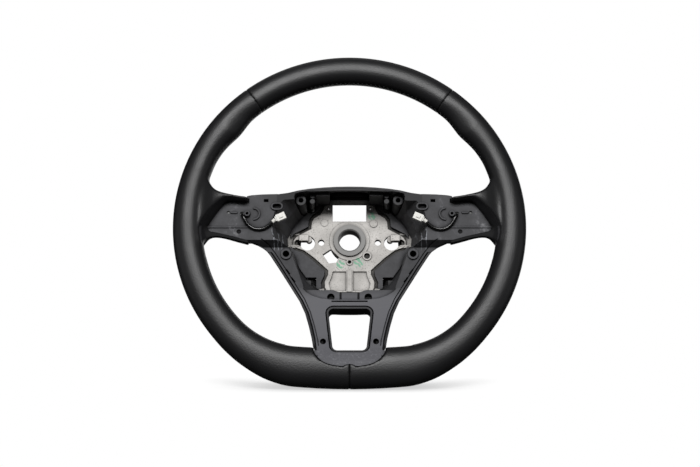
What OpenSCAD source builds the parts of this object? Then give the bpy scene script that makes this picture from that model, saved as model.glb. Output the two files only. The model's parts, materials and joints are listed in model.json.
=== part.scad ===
// Flat-bottomed steering wheel, bare of its airbag, switches and trims.
//
// Every piece is drawn with x to the right, y up the wheel and z towards the driver, and
// in_car() then stands it up: the driver's face looks along -Y and the column leaves along +Y.
// The origin is on the axis of the splined bore, inside the hub.

/* [Rim] */
// Overall width of the rim
rim_width = 370; // [360:1:380]
// Radius of the two lower corners, at the middle of the grip
corner_radius = 110; // [104:1:116]
// Radius of the nearly flat bottom, at the middle of the grip
bottom_radius = 600; // [560:10:640]
// Height of the flat bottom's middle below the hub axis
bottom_drop = 153; // [151:0.5:155]
// Distance from the origin forward to the middle plane of the rim
dish = 76; // [74:0.5:79]

/* [Grip] */
// Outer half of the grip, from its middle line outwards
grip_outer = 15.2; // [14.8:0.1:15.8]
// Inner half of the grip at the top
grip_inner = 14.2; // [13.8:0.1:14.8]
// Half of the grip's thickness, front to back
grip_half_depth = 14.6; // [14:0.1:15.2]
// How far the thumb rests stand in from the round grip
thumb_rest = 3.4; // [2:0.1:4]
// Half of the grip's width on the flat bottom
bottom_half_width = 21; // [20:0.1:22]
// Direction of the upper seams, from the right
seam_angle = 53; // [50:0.5:56]
// Thickness of the leather
leather = 1.4; // [1.2:0.1:1.8]
// Layer of glue under the leather
glue = 0.15; // [0.1:0.05:0.3]
// Gap between two leather panels at a seam
seam_gap = 0.2; // [0.1:0.05:0.4]

/* [Hub] */
// Radius of the splined bore
bore_radius = 11.5; // [11:0.1:12]
// Outer radius of the steel bush
bush_radius = 17.5; // [17:0.1:18.5]
// Length of the steel bush
bush_length = 20; // [18:0.5:24]
// Thickness of the cast hub plate
plate = 7; // [6:0.5:8]
// Front face of the plate, forward of the origin
plate_front = 5; // [4:0.5:6]
// Distance of the airbag's latch holes from the axis
latch_reach = 46; // [45:0.5:47]
// Radius of the airbag's latch holes
latch_radius = 8.2; // [7.6:0.1:8.6]
// Distance of the small locating holes from the axis
pin_hole_reach = 31; // [30:0.5:32]
// Radius of the small locating holes
pin_hole_radius = 3.4; // [3:0.1:3.8]

/* [Armature] */
// Width of the channel section cast round the rim
ring_width = 13; // [12:0.5:14]
// Depth of the channel section cast round the rim
ring_depth = 9; // [8:0.5:10]
// Width of the cast side arms
arm_width = 18; // [16:0.5:20]
// Width of each cast leg beside the lower window
leg_width = 5.5; // [5:0.5:6]
// Thickness of the ribs and webs of the arms
rib = 3.5; // [3:0.1:4]

/* [Rear cover] */
// Wall of the moulded rear cover
cover_wall = 2.2; // [2:0.1:2.6]
// Gap between the cover's lip and the foam inside it
cover_gap = 1.2; // [1:0.1:1.5]
// Radius of the opening for the column
column_radius = 54; // [53:0.5:55]
// Back of the cover, behind the origin
cover_back = 16; // [15:0.5:18]
// Half of the lower window's width at its top
window_half = 22; // [21:0.5:23]

/* [Foam] */
// Front face of the switch seats in the side spokes
seat_front = 62; // [61:0.5:63]
// Front face of the ledge above the lower window
ledge_front = 40; // [38:0.5:42]
// Radius of the four trim screw holes
trim_hole = 3.4; // [3.1:0.1:3.6]
// Radius of the two cover screw holes in the ledge
cover_hole = 3.9; // [3.6:0.1:4.2]

/* [Wiring] */
// Diameter of the sleeved lead
lead_diameter = 3.2; // [2.8:0.1:3.6]
// Length of the connector housing
connector_length = 10; // [9:0.5:11]
// Width of the connector housing
connector_width = 7.4; // [7:0.2:8]
// Thickness of the connector housing
connector_depth = 5; // [4.6:0.2:5.6]

/* [Hidden] */
$fn = 48;
tiny = 0.01;

// The rim's middle line: a large arc, two corner arcs and a slack bottom arc, all tangent.
top_radius = rim_width / 2 - grip_outer;
corner_reach = top_radius - corner_radius;
bottom_centre = bottom_radius - bottom_drop;
corner_sine = (pow(bottom_radius - corner_radius, 2) - pow(corner_reach, 2) - pow(bottom_centre, 2))
    / (2 * corner_reach * bottom_centre);
corner_start = -asin(corner_sine);
corner_centre = [corner_reach * cos(corner_start), corner_reach * sin(corner_start)];
corner_end = atan2(corner_centre[1] - bottom_centre, corner_centre[0]);

// Point of the middle line whose outward normal points at angle a, on the right half.
function right_point(a) =
    a >= corner_start ? top_radius * [cos(a), sin(a)]
    : a >= corner_end ? corner_centre + corner_radius * [cos(a), sin(a)]
    : [0, bottom_centre] + bottom_radius * [cos(a), sin(a)];
// Any angle from -90 at the bottom, over the right side and the top, to 270.
function is_left(a) = a > 90;
function to_right(a) = is_left(a) ? 180 - a : a;
function path_point(a) =
    let (p = right_point(to_right(a)))
    is_left(a) ? [-p[0], p[1]] : p;

// Half widths of the grip, by the direction of the normal on the right half.
inner_table = [[-90, bottom_half_width], [-84, bottom_half_width - 0.6], [-76, bottom_half_width - 1.2],
               [-60, grip_inner + 4.6], [-45, grip_inner + 3.6], [-25, grip_inner + 2.4],
               [0, grip_inner + 1.6], [18, grip_inner - 0.4], [26, grip_inner - 1.2],
               [32, grip_inner - 0.2], [40, grip_inner + thumb_rest], [43, grip_inner + thumb_rest - 1],
               [48, grip_inner], [90, grip_inner]];
outer_table = [[-90, bottom_half_width], [-80, bottom_half_width], [-70, bottom_half_width - 1.4],
               [-60, grip_outer + 2.2], [-50, grip_outer + 0.8], [-40, grip_outer], [90, grip_outer]];
front_table = [[-90, grip_half_depth], [-20, grip_half_depth], [0, grip_half_depth + 0.6],
               [25, grip_half_depth + 0.2], [38, grip_half_depth + 1], [48, grip_half_depth],
               [90, grip_half_depth]];

sides = 14;
roundness = 2.25;
function power(v) = sign(v) * pow(abs(v), 2 / roundness);
// One section of the grip, as offsets [outwards, forwards], with a layer taken off all round.
function grip_section(a, layer) =
    let (b = to_right(a))
    [for (i = [0 : sides - 1])
        let (t = -360 * i / sides, u = power(cos(t)), v = power(sin(t)))
        [u * (lookup(b, u > 0 ? outer_table : inner_table) - layer),
         v * (lookup(b, front_table) - layer)]];
// The channel cast round the rim, open towards the driver.
function ring_section(clearance) =
    let (w = ring_width / 2 + clearance, d = ring_depth / 2 + clearance)
    [[w, d], [w - 1.5, -d], [1.5 - w, -d], [-w, d]];
function section_points(a, section) =
    let (p = path_point(a), n = [cos(a), sin(a)])
    [for (s = section) [p[0] + n[0] * s[0], p[1] + n[1] * s[0], dish + s[1]]];

// Directions at which the rim is drawn: half of the rim, then all of it.
function steps(from, to, count) = [for (i = [0 : count - 1]) from + (to - from) * i / count];
right_low = concat(steps(-90, corner_end, 2), steps(corner_end, corner_start, 5));
right_high = concat(steps(corner_start, 26, 7), steps(26, seam_angle, 6));
top_half = steps(seam_angle, 90, 5);
function other_side(list) = [for (i = [len(list) - 1 : -1 : 0]) 180 - list[i]];
half_run = concat(right_low, right_high, top_half);
left_half = other_side(half_run);
rim_run = concat(half_run, [90], [for (i = [0 : len(left_half) - 2]) left_half[i]]);
// The panels stop half a gap short of each seam.
function short_of(radius) = seam_gap / 2 / radius * 180 / PI;
right_run = concat([-90 + short_of(bottom_radius)], [for (i = [1 : len(right_low) - 1]) right_low[i]],
    right_high, [seam_angle - short_of(top_radius)]);
top_run = concat([seam_angle + short_of(top_radius)], [for (i = [1 : len(top_half) - 1]) top_half[i]], [90],
    other_side(concat([seam_angle + short_of(top_radius)], [for (i = [1 : len(top_half) - 1]) top_half[i]])));

// Side faces between rings of n points; rings - 1 bands, or one more when the sweep closes.
function band_faces(rings, n, closed) =
    [for (k = [0 : rings - (closed ? 1 : 2)], i = [0 : n - 1])
        let (a = k * n, b = ((k + 1) % rings) * n, j = (i + 1) % n)
        each [[a + i, b + j, a + j], [a + i, b + i, b + j]]];
module closed_sweep(angles, section_of) {
    rings = [for (a = angles) section_points(a, section_of(a))];
    n = len(rings[0]);
    polyhedron([for (r = rings) each r], band_faces(len(rings), n, true), convexity = 8);
}
module open_sweep(angles, section_of) {
    rings = [for (a = angles) section_points(a, section_of(a))];
    n = len(rings[0]);
    last = (len(rings) - 1) * n;
    polyhedron([for (r = rings) each r],
        concat(band_faces(len(rings), n, false),
               [[for (i = [0 : n - 1]) i]], [[for (i = [n - 1 : -1 : 0]) last + i]]), convexity = 8);
}
// A tube wall: outer rings, inner rings and a flat ring of faces at each end.
module tube_sweep(angles, outer_of, inner_of) {
    outer = [for (a = angles) section_points(a, outer_of(a))];
    inner = [for (a = angles) section_points(a, inner_of(a))];
    n = len(outer[0]);
    m = len(angles);
    inside = m * n;
    out_faces = band_faces(m, n, false);
    in_faces = [for (f = out_faces) [f[0] + inside, f[2] + inside, f[1] + inside]];
    first = [for (i = [0 : n - 1]) let (j = (i + 1) % n)
        each [[i, j, inside + j], [i, inside + j, inside + i]]];
    end = (m - 1) * n;
    last = [for (i = [0 : n - 1]) let (j = (i + 1) % n)
        each [[end + i, end + inside + j, end + j], [end + i, end + inside + i, end + inside + j]]];
    polyhedron(concat([for (r = outer) each r], [for (r = inner) each r]),
        concat(out_faces, in_faces, first, last), convexity = 8);
}

// Small helpers for outlines
function mirrored(points) = concat(points, [for (i = [len(points) - 1 : -1 : 0]) [-points[i][0], points[i][1]]]);
module both_sides() {
    children();
    mirror([1, 0, 0]) children();
}
module in_car() {
    rotate([90, 0, 0]) children();
}
module block(points, from, to) {
    translate([0, 0, from]) linear_extrude(to - from) polygon(points);
}
// A piece cut from a drawing of [y, z], from x = from to x = to.
module cross_block(points, from, to) {
    translate([from, 0, 0]) rotate([90, 0, 90]) linear_extrude(to - from) polygon(points);
}

// Rear cover: the lip's outline on the left half, from the top round to the bottom, as
// [x, y, z, w], where w is 1 at an upright wall and 0 where the cover runs out flat.
lip_left = [[0, 48.7, 50, 1], [-14, 48.5, 50, 1], [-28, 47.7, 50, 1], [-42, 46.4, 50, 1], [-54, 44.6, 50, 1],
            [-66, 41.7, 50, 1], [-82, 39.4, 50, 0.9], [-98, 37.6, 50, 0.5], [-107, 34, 48, 0.1],
            [-109.5, 24, 46.4, 0], [-110, 8, 46, 0], [-109, -8, 46.6, 0], [-104, -14.4, 49, 0.4],
            [-96, -17.6, 50, 0.7], [-89, -21.6, 50, 1], [-84, -28, 50, 1], [-74, -43, 48, 1],
            [-62.8, -60.5, 46, 1], [-52.6, -77, 48, 1], [-46.6, -91, 54, 1], [-42.4, -106, 60, 1],
            [-39.2, -120, 66, 1], [-37.6, -129.5, 69, 1], [-35.5, -133.5, 66, 1],
            [-28, -136.5, 60, 1], [-14, -138, 58, 1], [0, -138.4, 58, 1]];
lip = concat(lip_left, [for (i = [len(lip_left) - 2 : -1 : 1])
    [-lip_left[i][0], lip_left[i][1], lip_left[i][2], lip_left[i][3]]]);
lip_count = len(lip);
function flat_unit(v) = v / norm(v);
function inward(i) =
    let (a = lip[(i + lip_count - 1) % lip_count], b = lip[(i + 1) % lip_count],
         d = flat_unit([b[0] - a[0], b[1] - a[1]]))
    [-d[1], d[0]];
collar_radius = column_radius + 7.5;
// Shares of the way out at which the bowl is drawn, and how far its upright wall has risen there.
bowl_shares = [0, 0.15, 0.32, 0.6, 0.9, 1];
wall_rise = [[0, 0], [0.15, 0.26], [0.32, 0.44], [0.6, 0.56], [0.9, 0.72], [1, 1]];
// The bowl's ring at share t of the way from the column collar to the lip.
function bowl_ring(inset, t, lift) =
    [for (i = [0 : lip_count - 1])
        let (n = inward(i),
             edge = [lip[i][0] + n[0] * inset, lip[i][1] + n[1] * inset],
             u = flat_unit(edge),
             base = u * (collar_radius - inset),
             xy = base + (edge - base) * t,
             rise = lip[i][3] * lookup(t, wall_rise) + (1 - lip[i][3]) * sin(90 * t),
             z = inset - cover_back + (lip[i][2] + cover_back - inset * (2 - lip[i][3]) / 2) * rise + lift)
        [xy[0], xy[1], z]];
// The solid inside the bowl, and above its lip by lift.
module bowl(inset, lift) {
    rings = concat([for (t = bowl_shares) bowl_ring(inset, t, 0)],
        lift > 0 ? [bowl_ring(inset, 1, lift)] : []);
    n = lip_count;
    m = len(rings);
    points = concat([for (r = rings) each r], [[0, 0, rings[0][0][2]], [0, -20, rings[m - 1][0][2]]]);
    bottom = m * n;
    bands = [for (f = band_faces(m, n, false)) [f[0], f[1], f[2]]];
    floor_faces = [for (i = [0 : n - 1]) [i, (i + 1) % n, bottom]];
    top_faces = [for (i = [0 : n - 1]) [(m - 1) * n + (i + 1) % n, (m - 1) * n + i, bottom + 1]];
    polyhedron(points, concat(bands, floor_faces, top_faces), convexity = 8);
}

// Lower window: a tapered opening with round corners, right through the lower spoke.
window_top = -85;
window_bottom = -132.5;
window_corner = 5;
window_taper = 4.2;
module window_outline(grow) {
    hull() for (side = [-1, 1]) {
        translate([side * (window_half - window_corner), window_top - window_corner])
            circle(r = window_corner + grow, $fn = 24);
        translate([side * (window_half - window_taper - window_corner), window_bottom + window_corner])
            circle(r = window_corner + grow, $fn = 24);
    }
}
module window_prism(grow, from, to) {
    translate([0, 0, from]) linear_extrude(to - from) window_outline(grow);
}

// Front surface of the foam down the wheel's middle, as [y, z].
front_profile = [[70, seat_front], [-13.5, seat_front], [-19, 51], [-40, 48.5], [-62, 46.5], [-78, 48],
                 [-92, 52], [-106, 57.5], [-120, 64], [-131, 71], [-139, 78], [-146, 83.5],
                 [-152, 86.5], [-160, 87.5]];

// Outline of the switch seat's opening at the front of the leather, on the left spoke. Below
// the seat it lies far out, so that the wall there ends just above the seat's face.
seat_edge = [[-100, 27.6], [-112, 28.4], [-126, 30.6], [-132.5, 29.6], [-138.5, 25], [-146, 16],
             [-151.5, 7], [-155.3, -0.6], [-156.6, -9], [-152, -24], [-136.4, -38], [-122.6, -42],
             [-111.6, -45], [-100, -48]];
// Outline of the same opening at the seat, where the leather is tucked in.
seat_foot = [[-100, 27.4], [-112, 27.9], [-126, 28.6], [-131.5, 27], [-136.6, 21.5], [-142.6, 13.6],
             [-147.6, 5.8], [-150.6, 0.4], [-149.8, -3.2], [-146.4, -4.9], [-135.6, -7.2], [-122, -10.4],
             [-111.1, -13.5], [-100, -16.6]];
// Depth of the tuck below the seat's face, and height at which the wall meets the spoke's front
tuck = 1.5;
seat_brim = 78;
// An outline grown outwards by d, its points taken clockwise.
function grown(points, d) =
    let (n = len(points))
    [for (i = [0 : n - 1])
        let (a = flat_unit(points[i] - points[(i + n - 1) % n]),
             b = flat_unit(points[(i + 1) % n] - points[i]),
             m = flat_unit([-a[1] - b[1], a[0] + b[0]]))
        points[i] + m * d / max(0.5, m * [-a[1], a[0]])];
function at_height(points, z) = [for (p = points) [p[0], p[1], z]];
// The opening over a switch seat, with its sloping wall grown outwards by d.
module seat_opening(d, from) {
    foot = grown(seat_foot, -d);
    brim = grown(seat_edge, -d);
    n = len(foot);
    polyhedron(concat(at_height(foot, from), at_height(foot, seat_front), at_height(brim, seat_brim),
                      at_height(brim, seat_brim + 20)),
        concat(band_faces(4, n, false), [[for (i = [0 : n - 1]) i]], [[for (i = [n - 1 : -1 : 0]) 3 * n + i]]),
        convexity = 6);
}
// Outline of the foam's own seat, a step inside the leather's edge.
seat_floor = [[-46, 42], [-60, 40], [-72, 37], [-92, 36.5], [-104, 35.6], [-109, 34.6], [-109, 31.9],
              [-106.6, 31.9], [-106.6, -13.6], [-96, -17], [-86, -24], [-60, -24]];

// Sections of the side spoke, as [x, top, bottom, back], from the rim inwards.
spoke_stations = [[-168, 68, -28, 61.6], [-156, 62, -22, 56], [-150.5, 52, -15, 54.4], [-147.5, 45, -12, 53.6],
                  [-143.5, 39.5, -10.4, 52.6], [-138, 36.6, -10.2, 51.4], [-130, 34.6, -11.4, 50.2],
                  [-118, 32.4, -14.4, 48.2], [-107, 31, -17, 47]];
spoke_front_rim = 80;
spoke_front_end = 75;
spoke_back_round = 6;
spoke_front_round = 2.5;
// A corner arc of the spoke's section, as [y, z] points round a centre.
function corner_arc(centre, r, from, count) =
    [for (i = [0 : count]) centre + r * [cos(from + 90 * i / count), sin(from + 90 * i / count)]];
function spoke_ring(station, layer, x) =
    let (top = station[1] - layer, bottom = station[2] + layer,
         reach = (station[0] - spoke_stations[0][0]) / (spoke_stations[len(spoke_stations) - 1][0] - spoke_stations[0][0]),
         front = spoke_front_rim + (spoke_front_end - spoke_front_rim) * reach - layer,
         back = station[3] + layer,
         f = spoke_front_round - layer * 0.8,
         r = spoke_back_round - layer)
    [for (p = concat(corner_arc([top - f, front - f], f, 0, 2), corner_arc([bottom + f, front - f], f, 90, 2),
                     corner_arc([bottom + r, back + r], r, 180, 3), corner_arc([top - r, back + r], r, 270, 3)))
        [x, p[0], p[1]]];
// The spoke's outer form with a layer taken off, carried on at its inner end by stretch.
module side_spoke(layer, stretch) {
    last = len(spoke_stations) - 1;
    rings = concat([for (s = spoke_stations) spoke_ring(s, layer, s[0])],
        stretch > 0 ? [spoke_ring(spoke_stations[last], layer, spoke_stations[last][0] + stretch)] : []);
    n = len(rings[0]);
    end = (len(rings) - 1) * n;
    polyhedron([for (r = rings) each r],
        concat(band_faces(len(rings), n, false),
               [[for (i = [0 : n - 1]) i]], [[for (i = [n - 1 : -1 : 0]) end + i]]), convexity = 6);
}

// Outline of the lower spoke's tongue, where it lies on the rim.
tongue_left = [[-38, -118], [-38, -134], [-36.6, -138.5], [-33.4, -143], [-29, -147.4], [-22.6, -150.6],
               [-14, -152.6], [-6.4, -153.2], [-3.6, -151.4], [0, -151]];

// Cast armature
plate_left = [[0, 50], [-21, 49.6], [-27.5, 47.4], [-30.6, 43], [-31.4, 37.5], [-34.4, 32.4], [-41, 28.6],
              [-44.4, 23.6], [-45, 15.6], [-54, 10.8], [-61, 7], [-64.6, 1], [-64.2, -6], [-60, -10.6],
              [-51, -13.6], [-41, -21.4], [-32.4, -29.2], [-27, -34], [-27.4, -39], [-31, -47],
              [-30.4, -54], [-28, -61], [0, -61]];
plate_top_left = [[0, 46.5], [-19.6, 46.4], [-25.4, 44.4], [-27.6, 40.8], [-28.6, 35.6], [-32, 29.8], [-38.6, 26],
                  [-41.4, 21.4], [-42, 13.4], [-52.6, 7.8], [-58.4, 4.4], [-61.4, 0], [-61.2, -4.8],
                  [-58, -7.8], [-49.6, -10.8], [-38.6, -19], [-29.4, -27.4], [-23.4, -33], [-23.4, -38],
                  [-27, -46], [-26.8, -52], [-24.6, -57.5], [0, -57.5]];
diamond = [[-29.4, -15.4], [-20.6, -9.4], [-11.6, -18.4], [-14.6, -24.4], [-22.6, -25.4]];
plate_back = plate_front - plate;
plate_step = 2;
arm_profile = [[-55, -2], [-55, 3.5], [-63, 5.5], [-67.6, 10], [-71.6, 19], [-76, 28.6], [-81.4, 38],
               [-88.4, 47], [-97, 53.4], [-108, 57.4], [-120, 58.4], [-142, 59.4], [-151, 59.8], [-158, 64.6],
               [-165, 74], [-165, 69.6], [-160.5, 63.4], [-152, 56.4], [-142, 55.4], [-120, 53.4], [-108, 52.2],
               [-99, 47.6], [-91.4, 40], [-85, 31], [-79.6, 22.6], [-74.6, 14], [-69, 6.4], [-62, -1]];
leg_profile = [[-53, 3.5], [-57, 14], [-61, 24], [-66, 31], [-72, 36.4], [-80, 41], [-90, 46], [-104, 53],
               [-120, 61.5], [-129, 67.6], [-136, 72.4], [-153, 76], [-153, 72], [-137, 69.4], [-130, 64.6],
               [-120, 57], [-104, 47.6], [-90, 40.4], [-80, 35], [-72, 30], [-66, 24.4], [-61, 17],
               [-57, 9], [-53, -2]];
// The web is a strip inside the ribs, along the back of the arm.
function web_lift(i) = i > 20 ? [2.2, 1.6] : [0, 2.2];
arm_web = concat([for (i = [15 : len(arm_profile) - 1]) arm_profile[i]], [[-57, -2], [-57, 1.6]],
    [for (i = [len(arm_profile) - 1 : -1 : 15]) arm_profile[i] + web_lift(i)]);
leg_reach = window_half + 5.2;
// Height of the side arms' middle above the bore's axis
arm_height = 1;
panel_left = [[-18.4, -34.5], [-3.8, -34.5], [-3.8, -56], [-20.6, -56], [-22.6, -48], [-19.4, -40]];

// The arms and legs, thickened by a clearance for the foam's own cavity.
module arm_ribs(clearance) {
    both_sides() {
        translate([0, arm_height + arm_width / 2 + clearance, 0]) rotate([90, 0, 0])
            linear_extrude(arm_width + 2 * clearance) polygon(arm_profile);
    }
}
module side_arms() {
    both_sides() {
        for (y = [arm_height + arm_width / 2, arm_height - arm_width / 2 + rib])
            translate([0, y, 0]) rotate([90, 0, 0]) linear_extrude(rib) polygon(arm_profile);
        // the web joins the ribs along their back edge
        translate([0, arm_height + arm_width / 2, 0]) rotate([90, 0, 0]) linear_extrude(arm_width) polygon(arm_web);
    }
}
module legs(clearance) {
    both_sides() translate([leg_reach - clearance, 0, 0]) rotate([90, 0, 90])
        linear_extrude(leg_width + 2 * clearance) polygon(leg_profile);
}
module latch_hole() {
    difference() {
        union() {
            circle(r = latch_radius);
            translate([-10.6, 0]) circle(r = 4);
        }
        // the cast hook that the airbag's spring snaps behind
        translate([-latch_radius - 1, 2.4]) square([10.5, 7]);
        translate([1.5, 4.2]) circle(r = 3.4);
    }
}
module plate_openings() {
    translate([-18.6, 22]) square([37, 20.4]);
    for (side = [-1, 1]) translate([side * pin_hole_reach, -2]) circle(r = pin_hole_radius);
    both_sides() translate([-latch_reach, -2.6]) latch_hole();
    polygon(diamond);
}
module armature() {
    color([0.82, 0.81, 0.79]) in_car() {
        difference() {
            union() {
                block(mirrored(plate_left), plate_back, plate_front - plate_step);
                block(mirrored(plate_top_left), plate_front - plate_step - tiny, plate_front);
                translate([0, 0, plate_back - 5]) cylinder(r = bush_radius + 4.5, h = plate + 5.6);
                for (side = [-1, 1]) translate([side * 23, 37, plate_front - 1]) cylinder(r = 3.6, h = 2);
                both_sides() translate([-latch_reach - 9, -0.4, plate_front - 2]) cube([10, 6.6, 4.2]);
                translate([19.1, -17.2, plate_front - 1]) cylinder(r = 5, h = 2);
                translate([26.4, 19.4, plate_front - 1]) cylinder(r = 4.2, h = 1.8);
                translate([-27.6, 20.4, plate_front - 1]) cylinder(r = 4, h = 1.4);
                translate([0, -24, plate_front - 1]) cylinder(r = 3.6, h = 1.8);
                translate([-2.6, -57, plate_front - 3]) cube([5.2, 24, 3.6]);
            }
            translate([0, 0, plate_back - 1]) linear_extrude(plate + 4) plate_openings();
            translate([0, 0, plate_back - 6]) cylinder(r = bush_radius, h = plate + 12);
            for (side = [-1, 1]) translate([side * 23, 37, plate_back]) cylinder(r = 1.3, h = plate + 3);
            translate([19.1, -17.2, plate_front - 2]) cylinder(r = 3.2, h = 4);
            translate([0, -24, plate_front - 4]) cylinder(r = 2, h = 6);
            both_sides() block(panel_left, plate_front - 1.6, plate_front + 1);
        }
        side_arms();
        legs(0);
        closed_sweep(rim_run, function (a) ring_section(0));
    }
}

// Steel bush cast into the hub, with the splined bore for the column
bush_back = -bush_length + 8;
module hub_bush() {
    color([0.62, 0.62, 0.63]) in_car() difference() {
        translate([0, 0, bush_back]) cylinder(r = bush_radius, h = bush_length);
        translate([0, 0, bush_back - 1]) cylinder(r = bore_radius, h = bush_length + 2);
        translate([0, 0, bush_back + bush_length - 1.2]) cylinder(r1 = bore_radius, r2 = bore_radius + 1.4, h = 1.3);
    }
}

// Leather
module leather_top() {
    color([0.07, 0.07, 0.07]) in_car()
        tube_sweep(top_run, function (a) grip_section(a, 0), function (a) grip_section(a, leather));
}
module leather_right_half() {
    difference() {
        union() {
            open_sweep(right_run, function (a) grip_section(a, 0));
            mirror([1, 0, 0]) side_spoke(0, 0);
        }
        difference() {
            union() {
                open_sweep(concat([-90.3], right_run, [seam_angle + 1]), function (a) grip_section(a, leather));
                mirror([1, 0, 0]) side_spoke(leather, 1);
            }
            mirror([1, 0, 0]) seat_opening(leather, seat_front - tuck);
        }
        mirror([1, 0, 0]) seat_opening(0, seat_front - tuck - 0.5);
        block(mirrored(tongue_left), dish + 2, 100);
        translate([-36.6, -137, 40]) cube([73.2, 38, 60]);
    }
}
module leather_right() {
    color([0.07, 0.07, 0.07]) in_car() leather_right_half();
}
module leather_left() {
    color([0.07, 0.07, 0.07]) in_car() mirror([1, 0, 0]) leather_right_half();
}

// Foam moulded round the armature
// The well's outline on its floor, halfway up and at the seats, from the top round to the bottom.
well_floor = [[0, 70], [-22, 70], [-24, 46], [-31, 43], [-39.2, 34.8], [-45.8, 31.2], [-55.9, 22], [-63, 11.5],
              [-67, 1], [-66.5, -10], [-59, -19], [-53.4, -40], [-48, -58], [-46.6, -62.8], [-17.4, -62.8],
              [-9.8, -65.6], [0, -65.6]];
well_middle = [[0, 70], [-30, 70], [-36, 46], [-40, 43.4], [-46.6, 36.8], [-51.6, 32.4], [-61, 24.6], [-69, 12.6],
               [-72.6, 1.6], [-71.6, -10], [-61.6, -20], [-55, -40], [-49, -58], [-47.6, -62.8], [-17.4, -62.8],
               [-9.8, -65.6], [0, -65.6]];
well_brim = [[0, 70], [-42, 70], [-48.6, 45.4], [-52.4, 42.6], [-56.4, 37.6], [-60.4, 34], [-73, 31.2], [-80.6, 17],
             [-83, 4], [-81.6, -10], [-64.4, -21.4], [-57.6, -40], [-50.4, -58], [-49.4, -62.8], [-17.4, -62.8],
             [-9.8, -65.6], [0, -65.6]];
well_middle_height = 34;
floor_front = 7;
floor_back = -3;
// Pocket for the cover's locating pins and hole for its tower
pin_pocket = [[-51, 46.6], [-36.8, 46.6], [-36.8, 34], [-39.4, 32], [-43.4, 30.8], [-46.6, 31.5], [-51, 38]];
tower_hole = [[-50, -41.6], [-36.2, -41.6], [-36.2, -57], [-50, -57]];
ledge_left = [[-49.4, -62.7], [-46, -66.4], [-40, -70.2], [-31, -73.4], [-18, -74.8], [0, -75]];
// Clearance left round the casting inside the foam
cast_clearance = 0.15;
// A half outline from the top to the bottom, made whole without doubling its two middle points.
function closed_round(half) = concat(half, [for (i = [len(half) - 2 : -1 : 1]) [-half[i][0], half[i][1]]]);
module well() {
    n = len(closed_round(well_floor));
    polyhedron(concat(at_height(closed_round(well_floor), floor_front),
                      at_height(closed_round(well_middle), well_middle_height),
                      at_height(closed_round(well_brim), seat_front + 2),
                      at_height(closed_round(well_brim), seat_front + 60)),
        concat(band_faces(4, n, false), [[for (i = [0 : n - 1]) i]], [[for (i = [n - 1 : -1 : 0]) 3 * n + i]]),
        convexity = 8);
    // the foam beside the upper bar falls away towards the middle
    translate([0, 64, 0]) rotate([90, 0, 0]) linear_extrude(38)
        polygon(mirrored([[-80, seat_front + 50], [-80, seat_front + 1], [-47, 50.4]]));
}
// Parts of the cover that stand up through the foam
module cover_passages() {
    both_sides() {
        hull() {
            translate([-53, 33, -13]) cylinder(r = 7.4, h = 1, $fn = 12);
            translate([-52.4, 36, 60]) cylinder(r = 6.8, h = 1, $fn = 12);
        }
        block(pin_pocket, -30, 100);
        block(tower_hole, -30, 20);
    }
}
module seat_details() {
    // snap ribs, bosses and the lead's clip standing on the switch seat
    translate([-126, 15.4, seat_front - 1]) cube([7, 1.6, 2.4]);
    hull() {
        translate([-108.4, 14.6, seat_front - 1]) cylinder(r = 3.6, h = 1, $fn = 12);
        translate([-108.4, 14.6, seat_front + 3]) cylinder(r = 3, h = 1, $fn = 12);
    }
    difference() {
        translate([-101.5, 14.8, seat_front - 1]) cylinder(r = 7, h = 2.6, $fn = 12);
        translate([-101.5, 14.8, seat_front - 2]) cylinder(r = 5.4, h = 6, $fn = 12);
        translate([-112, 5, seat_front]) cube([10, 20, 6]);
    }
    hull() for (x = [-79.4, -74.6]) translate([x, 23, seat_front - 1]) cylinder(r = 4, h = 3, $fn = 12);
    translate([-150, -0.4, seat_front - 1]) cube([48, 1.4, 2]);
}
module seat_cuts() {
    translate([-91, 28, seat_front - 5]) cube([4.8, 3.2, 10]);
    translate([-128.4, 16.4, seat_front - 7]) cylinder(r = 1.7, h = 12, $fn = 12);
    translate([-117, -4.4, seat_front - 3]) cylinder(r = 2.3, h = 9, $fn = 12);
    translate([-114, 15, seat_front - 9]) cylinder(r = 2.2, h = 14, $fn = 12);
    translate([-108.4, 14.6, seat_front - 3]) cylinder(r = 1.5, h = 12, $fn = 12);
    hull() for (x = [-79.2, -74.8]) translate([x, 23, seat_front - 3]) cylinder(r = 2.6, h = 8, $fn = 12);
}
module trim_bosses() {
    both_sides() {
        hull() {
            translate([-67.4, -26, 30]) cylinder(r = 6.8, h = 1, $fn = 14);
            translate([-67.4, -26, 50.6]) cylinder(r = 5.8, h = 1, $fn = 14);
        }
        hull() {
            translate([-27.4, -123, 50]) cylinder(r = 5, h = 1, $fn = 12);
            translate([-27.4, -123, 65.4]) cylinder(r = 4.6, h = 1, $fn = 12);
        }
    }
}
module trim_holes() {
    both_sides() {
        translate([-67.4, -26, 36]) cylinder(r = trim_hole, h = 40, $fn = 16);
        translate([-27.4, -123, 52]) cylinder(r = trim_hole - 0.4, h = 40, $fn = 16);
        translate([-19.8, -70.6, 24]) cylinder(r = cover_hole, h = 40, $fn = 12);
    }
}
module above_profile(half) {
    difference() {
        translate([-half, -155, 0]) cube([2 * half, 260, 160]);
        cross_block(concat(front_profile, [[-160, -20], [70, -20]]), -half - 1, half + 1);
    }
}
// Half of the width over which the lower spoke and the cover's bowl are cut to the front profile
sleeve_end = 106.8;
module front_cut() {
    intersection() {
        above_profile(160);
        union() {
            intersection() {
                block([for (p = lip) [p[0], p[1]]], 30, 160);
                translate([-sleeve_end, -200, 30]) cube([2 * sleeve_end, 300, 130]);
            }
            block(mirrored(tongue_left), 40, 160);
            both_sides() {
                block(grown(seat_foot, -0.8), 40, 160);
                block([[-112, 31.7], [-100, 31.7], [-100, 38], [-112, 38]], 40, 160);
            }
        }
    }
}
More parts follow.
